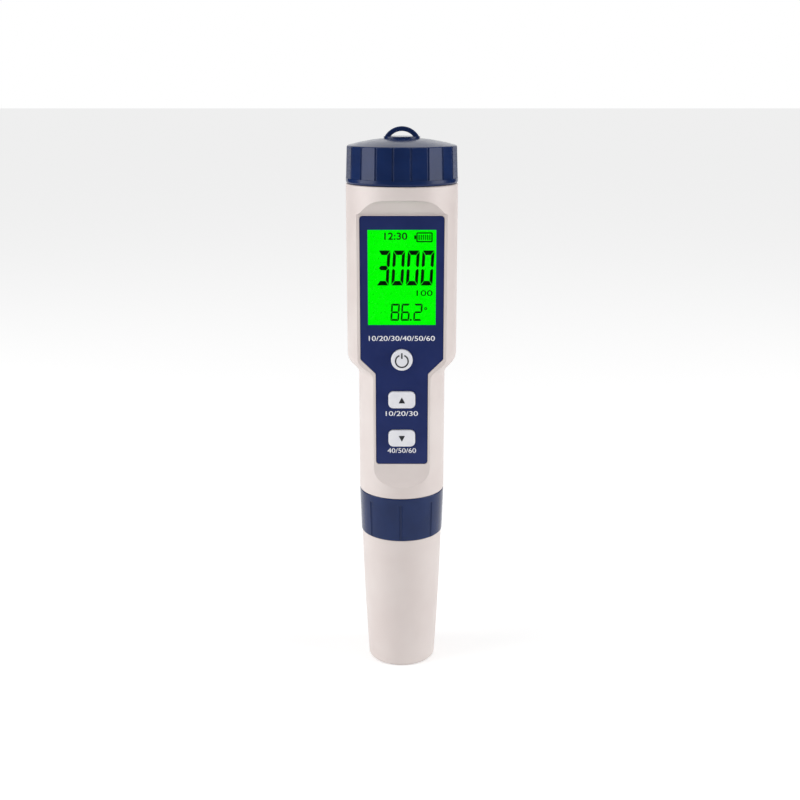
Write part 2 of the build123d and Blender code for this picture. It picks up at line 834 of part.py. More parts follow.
def make_probe_body():
    """Probe moulding: plug, flange, shank, tapered sleeve and a slotted guard round the sensors."""
    flange_radius_here = collar_bore - seat_gap
    taper_bottom = probe_shank_bottom - probe_taper_height
    body = turned(
        (0, probe_tip),
        (probe_sleeve_radius, probe_tip),
        (probe_sleeve_radius, taper_bottom),
        (probe_shank_radius, probe_shank_bottom),
        (probe_shank_radius, probe_flange_bottom),
        (flange_radius_here, probe_flange_bottom),
        (flange_radius_here, spigot_bottom),
        (spigot_bore - fit_gap, spigot_bottom),
        (spigot_bore - fit_gap, probe_plug_top),
        (0, probe_plug_top),
    )
    body -= rod(sample_cup_radius, probe_tip, sample_cup_top)
    slot = Pos(0, 0, probe_tip) * Box(guard_slot_width, 3 * probe_sleeve_radius, 2 * guard_slot_height)
    for step in range(guard_slot_count // 2):
        body -= Rot(0, 0, 45 + step * 360 / guard_slot_count) * slot
    body -= seal_groove(spigot_bore - fit_gap, spigot_bottom + plug_seal_rise, plug_seal_section)
    cap_seal_z = protective_cap_height - probe_cap_seal_drop
    body -= seal_groove(probe_shank_radius, cap_seal_z, probe_cap_seal_section)
    seat = sample_cup_top
    body -= rod(bulb_stem_radius + running_gap, seat, seat + bulb_seat_depth, 0, bulb_y)
    body -= rod(junction_radius + running_gap, seat, seat + sensor_seat_depth, junction_x, junction_y)
    body -= rod(thermo_radius + running_gap, seat, seat + sensor_seat_depth, 0, thermo_y)
    for side in (-1, 1):
        x = side * electrode_x
        body -= rod(electrode_radius + running_gap, seat, seat + sensor_seat_depth, x, electrode_y)
    for x, y in pin_places():
        body -= rod(pin_radius + running_gap, probe_plug_top - pin_seat_depth, probe_plug_top, x, y)
    return body


def pin_places():
    """The centres of the plug's pins, on a circle."""
    spots = PolarLocations(pin_circle, pin_count)
    return [(spot.position.X, spot.position.Y) for spot in spots]


def make_pins():
    """Plug pins that stand in the top of the probe."""
    low = probe_plug_top - pin_seat_depth
    high = probe_plug_top + pin_reach
    return [rod(pin_radius, low, high, x, y) for x, y in pin_places()]


def make_glass_bulb():
    """The pH glass: a round bulb on a stem."""
    centre_z = probe_tip + bulb_recess + bulb_radius
    stem = rod(bulb_stem_radius, centre_z, sample_cup_top + bulb_seat_depth, 0, bulb_y)
    return stem + Pos(0, bulb_y, centre_z) * Sphere(bulb_radius)


def make_thermo():
    """Round-nosed steel capsule of the temperature sensor."""
    low = sample_cup_top - thermo_reach
    capsule = rod(thermo_radius, low + thermo_radius, sample_cup_top + sensor_seat_depth, 0, thermo_y)
    return capsule + Pos(0, thermo_y, low + thermo_radius) * Sphere(thermo_radius)


def make_junction():
    """The porous plug of the reference junction."""
    low = sample_cup_top - junction_proud
    return rod(junction_radius, low, sample_cup_top + sensor_seat_depth, junction_x, junction_y)


def make_electrodes():
    """The two conductivity pins."""
    low = sample_cup_top - electrode_reach
    high = sample_cup_top + sensor_seat_depth
    return [rod(electrode_radius, low, high, side * electrode_x, electrode_y) for side in (-1, 1)]


def make_socket():
    """Round socket in the partition, bored for the probe's pins."""
    top = partition_bottom + socket_height
    socket = rod(socket_radius, partition_bottom, top)
    socket += rod(socket_flange_radius, partition_top, partition_top + socket_flange_thickness)
    for x, y in pin_places():
        socket -= rod(pin_radius + running_gap, partition_bottom, partition_bottom + socket_pin_depth, x, y)
    return socket


def make_flex():
    """Flat cable from the top of the socket to the back of the board."""
    half = flex_thickness / 2
    start = partition_bottom + socket_height
    land_y = board_back_y + half
    points = [
        (flex_start_y, start + half),
        (flex_start_y - half, start + flex_start_rise),
        (land_y, board_tail + flex_land_start),
        (land_y, board_tail + flex_land),
    ]
    return strip(points, flex_thickness, flex_width)


def protective_profile(foot_z, inset):
    """A filled cone with bulging sides, from a height to the mouth, as wide as the cap less an inset."""
    side = SagittaArc(
        (protective_mouth_radius - inset, protective_cap_height),
        (protective_foot_radius - inset, foot_z),
        protective_bulge,
    )
    rest = Polyline(side @ 1, (0, foot_z), (0, protective_cap_height), side @ 0)
    return make_face([side, rest])


def make_protective_cap():
    """Long tapered push-on cap with a flat foot."""
    outer = protective_profile(0, 0)
    corner = outer.vertices().sort_by_distance((protective_foot_radius, 0))[0]
    outer = fillet(corner, protective_foot_fillet)
    inner = protective_profile(protective_floor, protective_wall)
    return revolve(Plane.XZ * (outer - inner), Axis.Z)


nodes = {
    "housing": make_housing(),
    "front_panel": make_panel(),
    "panel_adhesive": front_slab(
        tee_outline(0, panel_corner_radius) - tee_outline(-ledge_width, panel_corner_radius),
        0,
        panel_back_y,
        ledge_front_y,
    ),
    "display_window": front_slab(
        pane_outline(pane_lap), (window_top + window_bottom) / 2, pane_front_y, panel_back_y
    ),
    "display_frame": make_display_frame(),
    "lcd_glass": make_lcd(),
    "backlight": make_backlight(),
    "zebra_strip": make_zebra(),
    "main_board": make_board(),
    "controller_chip": front_slab(
        Rectangle(chip_side, chip_side), board_top - chip_drop, board_back_y, board_back_y + chip_thickness
    ),
    "switch_bodies": make_switch_bodies(),
    "board_screws": make_board_screws(),
    "chassis": make_chassis(),
    "battery_left": make_cell(-1, True),
    "battery_right": make_cell(1, False),
    "battery_contact_left": make_leaf(-1),
    "battery_contact_right": make_leaf(1),
    "cap_neck_seal": seal_ring(
        cap_neck_radius - 4 * neck_seal_section / 3,
        battery_cap_bore - seal_gap,
        barrel_top + neck_seal_rise,
        neck_seal_section,
    ),
    "cap_contact_plate": make_contact_plate(),
    "battery_cap": make_battery_cap(),
    "probe_collar": make_collar(),
    "probe_body": make_probe_body(),
    "probe_pins": make_pins(),
    "glass_bulb": make_glass_bulb(),
    "reference_junction": make_junction(),
    "conductivity_electrodes": make_electrodes(),
    "temperature_sensor": make_thermo(),
    "probe_seal": seal_ring(
        spigot_bore - fit_gap - 4 * plug_seal_section / 3,
        spigot_bore - seal_gap,
        spigot_bottom + plug_seal_rise,
        plug_seal_section,
    ),
    "probe_cap_seal": seal_ring(
        probe_shank_radius - 4 * probe_cap_seal_section / 3,
        protective_mouth_radius - protective_wall - 2 * seal_gap,
        protective_cap_height - probe_cap_seal_drop,
        probe_cap_seal_section,
    ),
    "probe_socket": make_socket(),
    "flex_cable": make_flex(),
    "protective_cap": make_protective_cap(),
    "soaking_sponge": rod(sponge_radius, protective_floor, sponge_top),
}
for key_name in key_heights:
    nodes[key_name + "_button"] = make_key(key_name)
    nodes[key_name + "_switch_stem"] = make_switch_stem(key_name)

os.makedirs("parts", exist_ok=True)
for node_name, shape in nodes.items():
    solids = shape if isinstance(shape, list) else shape.solids()
    export_step(Compound(children=list(solids)), "parts/" + node_name + ".step")
    print(node_name, len(solids))
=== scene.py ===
# %% [markdown]
# # A salinity tester pen
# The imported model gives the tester's exact shapes. This lesson gives them the looks of the real
# thing: moulded ABS, a printed panel, a lit display, and the small parts that a plain solid lacks.
# Everything is in metres, +Z goes up the pen and the display faces -Y.

import math

import bmesh
import bpy
from mathutils import Matrix, Vector


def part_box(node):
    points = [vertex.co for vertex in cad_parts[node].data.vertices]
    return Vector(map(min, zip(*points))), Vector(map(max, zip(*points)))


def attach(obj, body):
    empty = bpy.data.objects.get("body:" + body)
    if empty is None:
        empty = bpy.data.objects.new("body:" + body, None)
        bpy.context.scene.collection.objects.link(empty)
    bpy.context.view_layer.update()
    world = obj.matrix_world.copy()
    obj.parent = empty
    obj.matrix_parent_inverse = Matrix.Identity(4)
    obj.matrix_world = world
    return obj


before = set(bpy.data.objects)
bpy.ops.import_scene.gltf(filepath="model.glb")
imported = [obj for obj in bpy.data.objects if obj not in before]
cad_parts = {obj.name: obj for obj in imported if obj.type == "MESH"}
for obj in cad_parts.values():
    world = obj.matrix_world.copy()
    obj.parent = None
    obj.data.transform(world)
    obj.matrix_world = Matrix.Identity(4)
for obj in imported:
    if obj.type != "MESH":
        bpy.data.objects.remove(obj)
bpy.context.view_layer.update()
MM = 0.001

# %% [markdown]
# The camera stands about where the photograph was taken from. Its height and tilt were fitted to
# the ellipses of the battery cap's rim and of the collar, and its distance to the taper of the
# pen. The fit is approximate. A long lens from 0.4 m away looks down by about 15 degrees.

# %% Camera
lens_mm = 51.61
camera_place = (-0.00063, -0.3953, 0.2061)
look_down_degrees = 15.22

camera_data = bpy.data.cameras.new("camera")
camera_data.lens = lens_mm
camera_data.clip_start = 10 * MM
camera = bpy.data.objects.new("camera", camera_data)
camera.location = camera_place
camera.rotation_euler = (math.radians(90 - look_down_degrees), 0, 0)
bpy.context.scene.collection.objects.link(camera)
bpy.context.scene.camera = camera
bpy.context.scene.view_settings.view_transform = "Standard"
print("camera at", camera_place, "looking down by", look_down_degrees, "degrees")

# %% [markdown]
# A material is a tree of shader nodes. One helper adds a node, sets its properties and sockets and
# joins it to others: a value that is itself a socket is linked, any other value is set. It serves
# the world's node tree as well as a material's. Colours are picked as sRGB hex codes and turned to
# the linear values that the renderer counts in.


# %% Helpers for materials
def linear(code):
    """Turns an sRGB hex colour into linear red, green, blue and alpha."""
    parts = [int(code[i : i + 2], 16) / 255 for i in (0, 2, 4)]
    return [p / 12.92 if p <= 0.04045 else ((p + 0.055) / 1.055) ** 2.4 for p in parts] + [1]


def add(owner, kind, sockets=None, **settings):
    """Adds a shader node with its settings, and sets or links its input sockets."""
    node = owner.node_tree.nodes.new("ShaderNode" + kind)
    for name, value in settings.items():
        setattr(node, name, value)
    for name, value in (sockets or {}).items():
        if isinstance(value, bpy.types.NodeSocket):
            owner.node_tree.links.new(value, node.inputs[name])
        else:
            node.inputs[name].default_value = value
    return node


def finish_named(name, colour, roughness, **sockets):
    """A new material with its constants set directly on the surface shader's sockets."""
    material = bpy.data.materials.new(name)
    material.use_nodes = True
    surface = material.node_tree.nodes["Principled BSDF"]
    surface.inputs["Base Color"].default_value = linear(colour)
    surface.inputs["Roughness"].default_value = roughness
    for socket, value in sockets.items():
        surface.inputs[socket.replace("_", " ")].default_value = value
    return material


def surface_of(material):
    """The surface shader of a material."""
    return material.node_tree.nodes["Principled BSDF"]


# %% [markdown]
# No moulding is perfectly even. Three kinds of detail are enough for nearly every finish here: a
# slow drift of colour, a slow drift of gloss, and a fine relief that bends the highlights. Each is
# a noise on Object coordinates, whose scale is one over the size of its blotches in metres.


# %% Helpers for surface detail
# A noise seldom leaves the span between these two values, so the whole change lies in that span.
NOISE_LOW, NOISE_HIGH = 0.3, 0.7
EVEN = (1, 1, 1)


def noise(material, size_mm, detail, stretch=EVEN):
    """A noise with blotches of a given size; stretch squeezes it along an axis."""
    place = add(material, "TexCoord").outputs["Object"]
    if stretch != EVEN:
        place = add(material, "Mapping", {"Vector": place, "Scale": stretch}).outputs["Vector"]
    sockets = {"Vector": place, "Scale": 1 / (size_mm * MM), "Detail": detail}
    return add(material, "TexNoise", sockets).outputs["Fac"]


def drift_colour(material, dark, light, size_mm, stretch=EVEN):
    """Lets the base colour wander between two colours."""
    ramp = add(material, "ValToRGB", {"Fac": noise(material, size_mm, 2.0, stretch)})
    dark_end, light_end = ramp.color_ramp.elements
    dark_end.position, dark_end.color = NOISE_LOW, linear(dark)
    light_end.position, light_end.color = NOISE_HIGH, linear(light)
    material.node_tree.links.new(ramp.outputs["Color"], surface_of(material).inputs["Base Color"])


def drift_gloss(material, low, high, size_mm, stretch=EVEN):
    """Lets the roughness wander between two values."""
    sockets = {
        "Value": noise(material, size_mm, 4.0, stretch),
        "From Min": NOISE_LOW,
        "From Max": NOISE_HIGH,
        "To Min": low,
        "To Max": high,
    }
    spread = add(material, "MapRange", sockets)
    material.node_tree.links.new(spread.outputs["Result"], surface_of(material).inputs["Roughness"])


def relief(material, size_mm, depth_mm, strength, stretch=EVEN, edge_mm=0.0):
    """A fine bump of a real depth, over edges that the tool's wear has rounded."""
    sockets = {
        "Height": noise(material, size_mm, 2.0, stretch),
        "Distance": depth_mm * MM,
        "Strength": strength,
    }
    if edge_mm:
        rounded = add(material, "Bevel", {"Radius": edge_mm * MM}, samples=6)
        sockets["Normal"] = rounded.outputs["Normal"]
    bump = add(material, "Bump", sockets)
    material.node_tree.links.new(bump.outputs["Normal"], surface_of(material).inputs["Normal"])


# %% [markdown]
# **Off-white ABS.** The housing and the protective cap are injection moulded in a warm grey-white
# ABS from a tool with a fine spark-eroded texture. That gives a satin skin: soft, wide highlights,
# a hint of grain, and a colour that is very slightly pinker where the plastic flowed. The grain
# could be modelled, but it is so fine that it only bends light, so a bump in the material does it.

# %% Off-white satin ABS
satin_abs = finish_named("satin_moulded_abs", "E2DAD6", 0.42, IOR=1.53)
drift_colour(satin_abs, "DDD1CD", "E3D9D5", 16)
drift_gloss(satin_abs, 0.36, 0.48, 3)
# Real grain is about 0.08 mm; it is drawn at 0.35 mm, one pixel, so that it shows at all.
relief(satin_abs, 0.35, 0.02, 0.25, edge_mm=0.18)
print("finish:", satin_abs.name)

# %% [markdown]
# **Navy ABS.** The battery cap and the collar come from a polished tool, so they are glossy and
# show the studio's lamps as clear upright bands. Handling leaves very faint rubbing marks, which
# run round the cap, because that is how fingers turn it. They could be a picture of scratches, but
# a noise stretched round the cap needs no picture and has no seam.

# %% Glossy navy ABS
gloss_abs = finish_named("glossy_navy_abs", "182A54", 0.2, IOR=1.5, Specular_IOR_Level=0.25)
drift_colour(gloss_abs, "162750", "1A2D5A", 9)
drift_gloss(gloss_abs, 0.14, 0.26, 2.2, stretch=(0.4, 0.4, 2.5))
relief(gloss_abs, 0.6, 0.01, 0.12, edge_mm=0.15)
print("finish:", gloss_abs.name)

# %% [markdown]
# **Printed panel.** The panel is a thin plate with a navy ink printed under a satin film, so its
# colour is flatter and a little bluer than the moulded cap, with an even orange-peel skin. White
# ink is screen-printed on it, and the light keys are moulded in ABS with a dark pad print.

# %% Panel, its white ink and the dark ink of the keys
panel_film = finish_named("navy_printed_film", "1E2858", 0.34, IOR=1.5, Specular_IOR_Level=0.35)
drift_colour(panel_film, "1C2B62", "202F68", 7)
drift_gloss(panel_film, 0.3, 0.4, 1.2)
relief(panel_film, 0.5, 0.008, 0.15, edge_mm=0.2)

white_ink = finish_named("white_screen_ink", "F4F4F8", 0.5)
drift_colour(white_ink, "ECECF2", "FAFAFD", 0.8)
relief(white_ink, 0.15, 0.005, 0.2)

key_abs = finish_named("white_key_abs", "EEEEF4", 0.35, IOR=1.53)
drift_colour(key_abs, "EAEAF1", "F2F2F6", 3)
drift_gloss(key_abs, 0.3, 0.4, 1)
relief(key_abs, 0.3, 0.01, 0.15, edge_mm=0.3)

key_ink = finish_named("dark_pad_print_ink", "26282F", 0.45)
drift_colour(key_ink, "212329", "2E3038", 0.6)
relief(key_ink, 0.15, 0.005, 0.2)
print("finishes:", panel_film.name, white_ink.name, key_abs.name, key_ink.name)

# %% [markdown]
# **The display.** Light from the backlight comes through the liquid crystal as a saturated green,
# so the glass is made to glow. The light guide behind it could be the lamp instead, but that would
# only add noise. A slow drift of the green keeps it from looking like a flat sticker. The pane in
# front is clear acrylic with a hard skin that wiping has dulled by a trace.

# %% Display glass, segments and pane
lcd_green = finish_named("green_lit_lcd_glass", "0A2A0C", 0.25, IOR=1.52, Emission_Strength=1.12)
glow = add(lcd_green, "ValToRGB", {"Fac": noise(lcd_green, 14, 1.0)})
glow.color_ramp.elements[0].color = linear("00F200")
glow.color_ramp.elements[1].color = linear("06FF06")
lcd_green.node_tree.links.new(glow.outputs["Color"], surface_of(lcd_green).inputs["Emission Color"])
drift_gloss(lcd_green, 0.22, 0.3, 2)

lcd_black = finish_named("dark_lcd_segment", "04140A", 0.4)
drift_colour(lcd_black, "021006", "06180A", 1.5)
drift_gloss(lcd_black, 0.35, 0.45, 0.5)

pane_acrylic = finish_named("clear_cast_acrylic", "FDFEFD", 0.01, IOR=1.49, Transmission_Weight=1.0)
drift_gloss(pane_acrylic, 0.0, 0.02, 1.5, stretch=(1, 1, 0.2))
print("finishes:", lcd_green.name, lcd_black.name, pane_acrylic.name)

# %% [markdown]
# **Metals.** Contacts are nickel-plated spring steel, the screws and the temperature capsule are
# bare stainless steel, and the plug pins are gold-plated. A metal has its whole colour in its
# reflection, so each starts from its hex colour at full metallic.

# %% Metals
# Rolled strip is bright, with fine rubbing marks along its length.
nickel = finish_named("nickel_plated_spring_steel", "C9C5BB", 0.25, Metallic=1.0)
drift_gloss(nickel, 0.18, 0.36, 0.8)
relief(nickel, 0.2, 0.004, 0.3, stretch=(1, 1, 0.1))

# Drawing leaves fine rings round the upright capsule. The small screws share its finish.
steel = finish_named("drawn_stainless_steel", "C4C6C8", 0.28, Metallic=1.0)
drift_gloss(steel, 0.22, 0.36, 0.5, stretch=(1, 1, 8))
relief(steel, 0.1, 0.003, 0.3, stretch=(1, 1, 8))

# Hard gold is a warm mirror with a slightly uneven shine.
gold = finish_named("hard_gold_plating", "D9B25A", 0.22, Metallic=1.0)
drift_gloss(gold, 0.18, 0.3, 0.4)
print("finishes:", nickel.name, steel.name, gold.name)

# %% [markdown]
# **Inner plastics, rubber, glass and ceramic.** Most of these hide until the pen is opened, but
# each still follows its real material. Moulded parts have the grain of their tool, rubber is dull
# with a faint sheen, the pH bulb is thin blown glass, and the junction and the electrodes are
# porous and matt.

# %% Inner plastics and rubber
# Black ABS from a textured tool is satin, with soft highlights.
black_abs = finish_named("black_moulded_abs", "1B1C1F", 0.4, IOR=1.53)
drift_colour(black_abs, "17181B", "212226", 5)
drift_gloss(black_abs, 0.34, 0.48, 2)
relief(black_abs, 0.35, 0.015, 0.25, edge_mm=0.15)

# PBT is slightly creamy and even, from a plain tool.
white_pbt = finish_named("white_moulded_pbt", "E6E6E2", 0.45)
drift_colour(white_pbt, "E0E0DB", "EBEBE8", 4)
relief(white_pbt, 0.3, 0.012, 0.2)

# A light guide is clear acrylic frosted at its back, so it looks milky with a green tinge.
light_guide = finish_named("light_guide_acrylic", "DFF3DD", 0.3, Transmission_Weight=0.3)
drift_gloss(light_guide, 0.25, 0.4, 1)

# Silicone is dull, with a faint bloom at grazing angles.
silicone = finish_named("black_silicone_rubber", "232427", 0.55, Sheen_Weight=0.15)
drift_colour(silicone, "1D1E21", "2B2C30", 2)
relief(silicone, 0.2, 0.01, 0.3)

# The strip is a row of thin layers, carbon and plain in turn, side by side along X. They are drawn
# at 0.2 mm, coarser than they are.
elastomer = finish_named("grey_layered_elastomer", "55575C", 0.6)
drift_colour(elastomer, "2A2B2E", "8A8C90", 0.2, stretch=(1, 0.02, 0.02))

# Solder mask is a glossy lacquer that sags a little over the tracks under it.
solder_mask = finish_named("green_solder_mask", "1F6B3A", 0.32, IOR=1.55)
drift_colour(solder_mask, "1A5F33", "257A44", 1.6)
drift_gloss(solder_mask, 0.26, 0.4, 0.8)
relief(solder_mask, 0.8, 0.02, 0.3)

# Chip epoxy is matt and sandy, because glass beads fill it.
chip_epoxy = finish_named("black_chip_epoxy", "1A1A1C", 0.62)
drift_colour(chip_epoxy, "161618", "242427", 0.4)
relief(chip_epoxy, 0.1, 0.01, 0.4)

# Copper tracks about 0.5 mm wide show through the film as darker stripes along the cable.
polyimide = finish_named("amber_polyimide_film", "B8742A", 0.3)
drift_colour(polyimide, "8F5620", "C68235", 0.5, stretch=(1, 0.02, 0.02))

# Foam tape is a matt grey sponge with closed cells.
acrylic_tape = finish_named("grey_acrylic_foam_tape", "6C7076", 0.7)
drift_colour(acrylic_tape, "5F6368", "7C8086", 0.5)
relief(acrylic_tape, 0.2, 0.02, 0.5)
print("finishes:", black_abs.name, white_pbt.name, light_guide.name, silicone.name, elastomer.name)
print("finishes:", solder_mask.name, chip_epoxy.name, polyimide.name, acrylic_tape.name)

# %% Glass, ceramic and graphite
# Blown glass is clear, with slow waves in its skin.
ph_glass = finish_named("blown_ph_glass", "F1FBFA", 0.03, IOR=1.48, Transmission_Weight=1.0)
drift_gloss(ph_glass, 0.02, 0.06, 1)
relief(ph_glass, 1.5, 0.02, 0.3)

# The junction is a porous ceramic plug: matt, pale and speckled.
ceramic = finish_named("porous_white_ceramic", "DAD5CB", 0.8)
drift_colour(ceramic, "C9C3B7", "E6E2DA", 0.2)
relief(ceramic, 0.12, 0.03, 0.7)

# Pressed graphite is dark with a dim, greasy shine.
graphite = finish_named("pressed_graphite", "2C2D30", 0.45, Metallic=0.3)
drift_gloss(graphite, 0.35, 0.55, 0.3)
relief(graphite, 0.1, 0.01, 0.5)

print("materials:", len(bpy.data.materials))

# %% [markdown]
# **Cells.** An AAA cell is a steel can in a shrunk plastic sleeve. The sleeve is plain here, with
# one band of a second colour at the plus end, and the bare steel shows at both ends. The band could
# be a piece of its own, but on a real cell it is print, so it is cut by height in the material.


# %% Cell sleeves
def cell_finish(name, low, high):
    """A sleeve with a copper-coloured band at its plus end, between two heights in metres."""
    material = finish_named(name, "26282C", 0.25, IOR=1.5)
    place = add(material, "TexCoord").outputs["Object"]
    height = add(material, "SeparateXYZ", {"Vector": place}).outputs["Z"]
    share = add(material, "MapRange", {"Value": height, "From Min": low, "From Max": high})
    ramp = add(material, "ValToRGB", {"Fac": share.outputs["Result"]})
    ramp.color_ramp.interpolation = "CONSTANT"
    bare_steel, dark_sleeve, copper_band = "B9BCBE", "26282C", "B5793C"
    steps = [(0.0, bare_steel), (0.02, dark_sleeve), (0.78, copper_band), (0.955, bare_steel)]
    for position, _ in steps[2:]:
        ramp.color_ramp.elements.new(position)
    for element, (position, colour) in zip(ramp.color_ramp.elements, steps):
        element.position = position
        element.color = linear(colour)
    material.node_tree.links.new(ramp.outputs["Color"], surface_of(material).inputs["Base Color"])
    drift_gloss(material, 0.2, 0.32, 2)
    return material


cell_low, cell_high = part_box("battery_left")
plus_up_sleeve = cell_finish("cell_sleeve_plus_up", cell_low.z, cell_high.z)
plus_down_sleeve = cell_finish("cell_sleeve_plus_down", cell_high.z, cell_low.z)
print("sleeves from height", round(cell_low.z, 4), "to", round(cell_high.z, 4))

# %% [markdown]
# The soaking sponge is an open-cell foam. Its cells are about 0.6 mm wide. Modelled one by one they
# would make a heavy mesh at a place that seldom shows, so a cell pattern sinks the hollows with a
# bump and paints shade into them, each pit darker towards its middle.

# %% Sponge foam
cell_mm, pit_depth_mm = 0.6, 0.3
foam = finish_named("open_cell_foam", "E8D98A", 0.9)
foam_place = add(foam, "TexCoord").outputs["Object"]
cells = add(foam, "TexVoronoi", {"Vector": foam_place, "Scale": 1 / (cell_mm * MM)})
# Painted shade: the ramp darkens each pit towards its middle, where shade would fall.
painted_pit_shade = add(foam, "ValToRGB", {"Fac": cells.outputs["Distance"]})
painted_pit_shade.color_ramp.elements[0].color = linear("A8924A")
painted_pit_shade.color_ramp.elements[1].position = 0.6
painted_pit_shade.color_ramp.elements[1].color = linear("F0E4A0")
foam.node_tree.links.new(painted_pit_shade.outputs["Color"], surface_of(foam).inputs["Base Color"])
pit_sockets = {"Height": cells.outputs["Distance"], "Distance": pit_depth_mm * MM, "Strength": 0.9}
pits = add(foam, "Bump", pit_sockets)
foam.node_tree.links.new(pits.outputs["Normal"], surface_of(foam).inputs["Normal"])
print("finish:", foam.name)

# %% [markdown]
# Each solid of the frame keeps its shape and gets its real finish: the material in its slot is
# swapped, and nothing about its mesh changes.

# %% Finishes of the solids
finishes = {
    "housing": satin_abs,
    "protective_cap": satin_abs,
    "battery_cap": gloss_abs,
    "probe_collar": gloss_abs,
    "front_panel": panel_film,
    "panel_adhesive": acrylic_tape,
    "display_window": pane_acrylic,
    "power_button": key_abs,
    "up_button": key_abs,
    "down_button": key_abs,
    "power_switch_stem": black_abs,
    "up_switch_stem": black_abs,
    "down_switch_stem": black_abs,
    "switch_bodies": black_abs,
    "display_frame": white_pbt,
    "lcd_glass": lcd_green,
    "backlight": light_guide,
    "zebra_strip": elastomer,
    "main_board": solder_mask,
    "controller_chip": chip_epoxy,
    "board_screws": steel,
    "chassis": black_abs,
    "battery_left": plus_up_sleeve,
    "battery_right": plus_down_sleeve,
    "battery_contact_left": nickel,
    "battery_contact_right": nickel,
    "cap_contact_plate": nickel,
    "cap_neck_seal": silicone,
    "probe_seal": silicone,
    "probe_cap_seal": silicone,
    "probe_socket": black_abs,
    "flex_cable": polyimide,
    "probe_body": black_abs,
    "probe_pins": gold,
    "glass_bulb": ph_glass,
    "reference_junction": ceramic,
    "conductivity_electrodes": graphite,
    "temperature_sensor": steel,
    "soaking_sponge": foam,
}
for node_name, material in finishes.items():
    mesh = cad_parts[node_name].data
    mesh.materials.clear()
    mesh.materials.append(material)
print("nodes without a finish:", sorted(set(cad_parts) - set(finishes)))

# %% [markdown]
# New pieces are drawn with mesh operators in a bmesh and become an object in one call, which also
# says what they ride on and which of the record's finishes they belong to.


# %% Helper for new pieces
SHARP_DEGREES = 35


def piece_from(shape, name, material, body, smooth=False):
    """Turns a bmesh into a piece that rides on a body."""
    mesh = bpy.data.meshes.new(name)
    bmesh.ops.recalc_face_normals(shape, faces=shape.faces)
    shape.to_mesh(mesh)
    shape.free()
    mesh.materials.append(material)
    if smooth:
        mesh.shade_smooth()
        mesh.set_sharp_from_angle(angle=math.radians(SHARP_DEGREES))
    piece = bpy.data.objects.new(name, mesh)
    bpy.context.scene.collection.objects.link(piece)
    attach(piece, body)
    print(name, "faces:", len(mesh.polygons))


# %% [markdown]
# **Printing and segments.** Ink and display segments are flat shapes a few hundredths of a
# millimetre thick. They are drawn lying down, x to the right and y up, given their thickness, and
# then stood up in front of the surface that carries them. A few corners joined to one face are
# enough for a shape, and every measure is in millimetres until it stands.


# %% Helpers for flat shapes
PRINT_THICKNESS_MM = 0.02
# The middle of a print stands this far before its surface, so its back stays clear of it.
PRINT_STANDS_OFF_MM = 0.025


def flat_face(shape, corners):
    """One face through a few corners, given in millimetres."""
    made = [shape.verts.new((x * MM, y * MM, 0)) for x, y in corners]
    bmesh.ops.contextual_create(shape, geom=made)
    return made


def flat_bar(shape, left, low, right, high):
    """A rectangle with level and upright sides."""
    return flat_face(shape, [(left, low), (right, low), (right, high), (left, high)])


def stand_up(shape, front_y):
    """Gives a flat drawing its thickness and stands it up before a surface at a depth in metres."""
    bmesh.ops.recalc_face_normals(shape, faces=shape.faces)
    bmesh.ops.solidify(shape, geom=shape.faces[:], thickness=PRINT_THICKNESS_MM * MM)
    middle = sum(v.co.z for v in shape.verts) / len(shape.verts)
    bmesh.ops.translate(shape, vec=(0, 0, -middle), verts=shape.verts)
    bmesh.ops.transform(shape, matrix=Matrix.Rotation(math.radians(90), 4, "X"), verts=shape.verts)
    bmesh.ops.translate(shape, vec=(0, front_y - PRINT_STANDS_OFF_MM * MM, 0), verts=shape.verts)


# %% [markdown]
# **Seven-segment digits.** The big digits have heavy level bars and finer upright ones, with ends
# cut at a slant so that a thin line of light parts them. The whole digit leans by about 3.5
# degrees. A font could write them, but not with these bars, so each digit is the list of its lit
# bars, and the lower half is the upper half turned over.

# %% Display digits
SEGMENTS = {"0": "abcdef", "2": "abged", "3": "abcdg", "6": "acdefg", "8": "abcdefg"}
LEAN = 0.06  # how far a digit leans to the right for each unit of its height


def add_digit(shape, figure, left, low, width, height, level, upright):
    """The lit bars of one figure; level and upright are the thicknesses of its bars."""
    middle, slit = height / 2, 0.12 * upright
    side_tip, cross_tip = 0.35 * upright, 0.4 * upright
    top_bar = [
        (slit, height),
        (width - slit, height),
        (width - upright - slit, height - level),
        (upright + slit, height - level),
    ]
    side_bar = [
        (width, height - 2 * slit),
        (width, middle + 0.5 * level),
        (width - side_tip, middle + 2 * slit),
        (width - upright, middle + 0.5 * level + slit),
        (width - upright, height - level - slit),
    ]
    cross_bar = [
        (cross_tip, middle),
        (upright + slit, middle + level / 2),
        (width - upright - slit, middle + level / 2),
        (width - cross_tip - slit, middle),
        (width - upright - slit, middle - level / 2),
        (upright + slit, middle - level / 2),
    ]
    drawn = {
        "a": top_bar,
        "b": side_bar,
        "c": [(x, height - y) for x, y in side_bar],
        "d": [(x, height - y) for x, y in top_bar],
        "e": [(width - x, height - y) for x, y in side_bar],
        "f": [(width - x, y) for x, y in side_bar],
        "g": cross_bar,
    }
    for bar in SEGMENTS[figure]:
        flat_face(shape, [(left + x + LEAN * y, low + y) for x, y in drawn[bar]])


lcd_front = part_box("lcd_glass")[0].y
# All in millimetres: low is the height of the digits' feet above the table, left is from the middle.
large = {"low": 141.6, "width": 4.0, "height": 11.8, "level": 1.5, "upright": 1.0}
large_left, large_step = -8.52, 4.93
digits = bmesh.new()
for index, figure in enumerate("3000"):
    add_digit(digits, figure, large_left + large_step * index, **large)
stand_up(digits, lcd_front)
piece_from(digits, "lcd_large_digits", lcd_black, "meter")

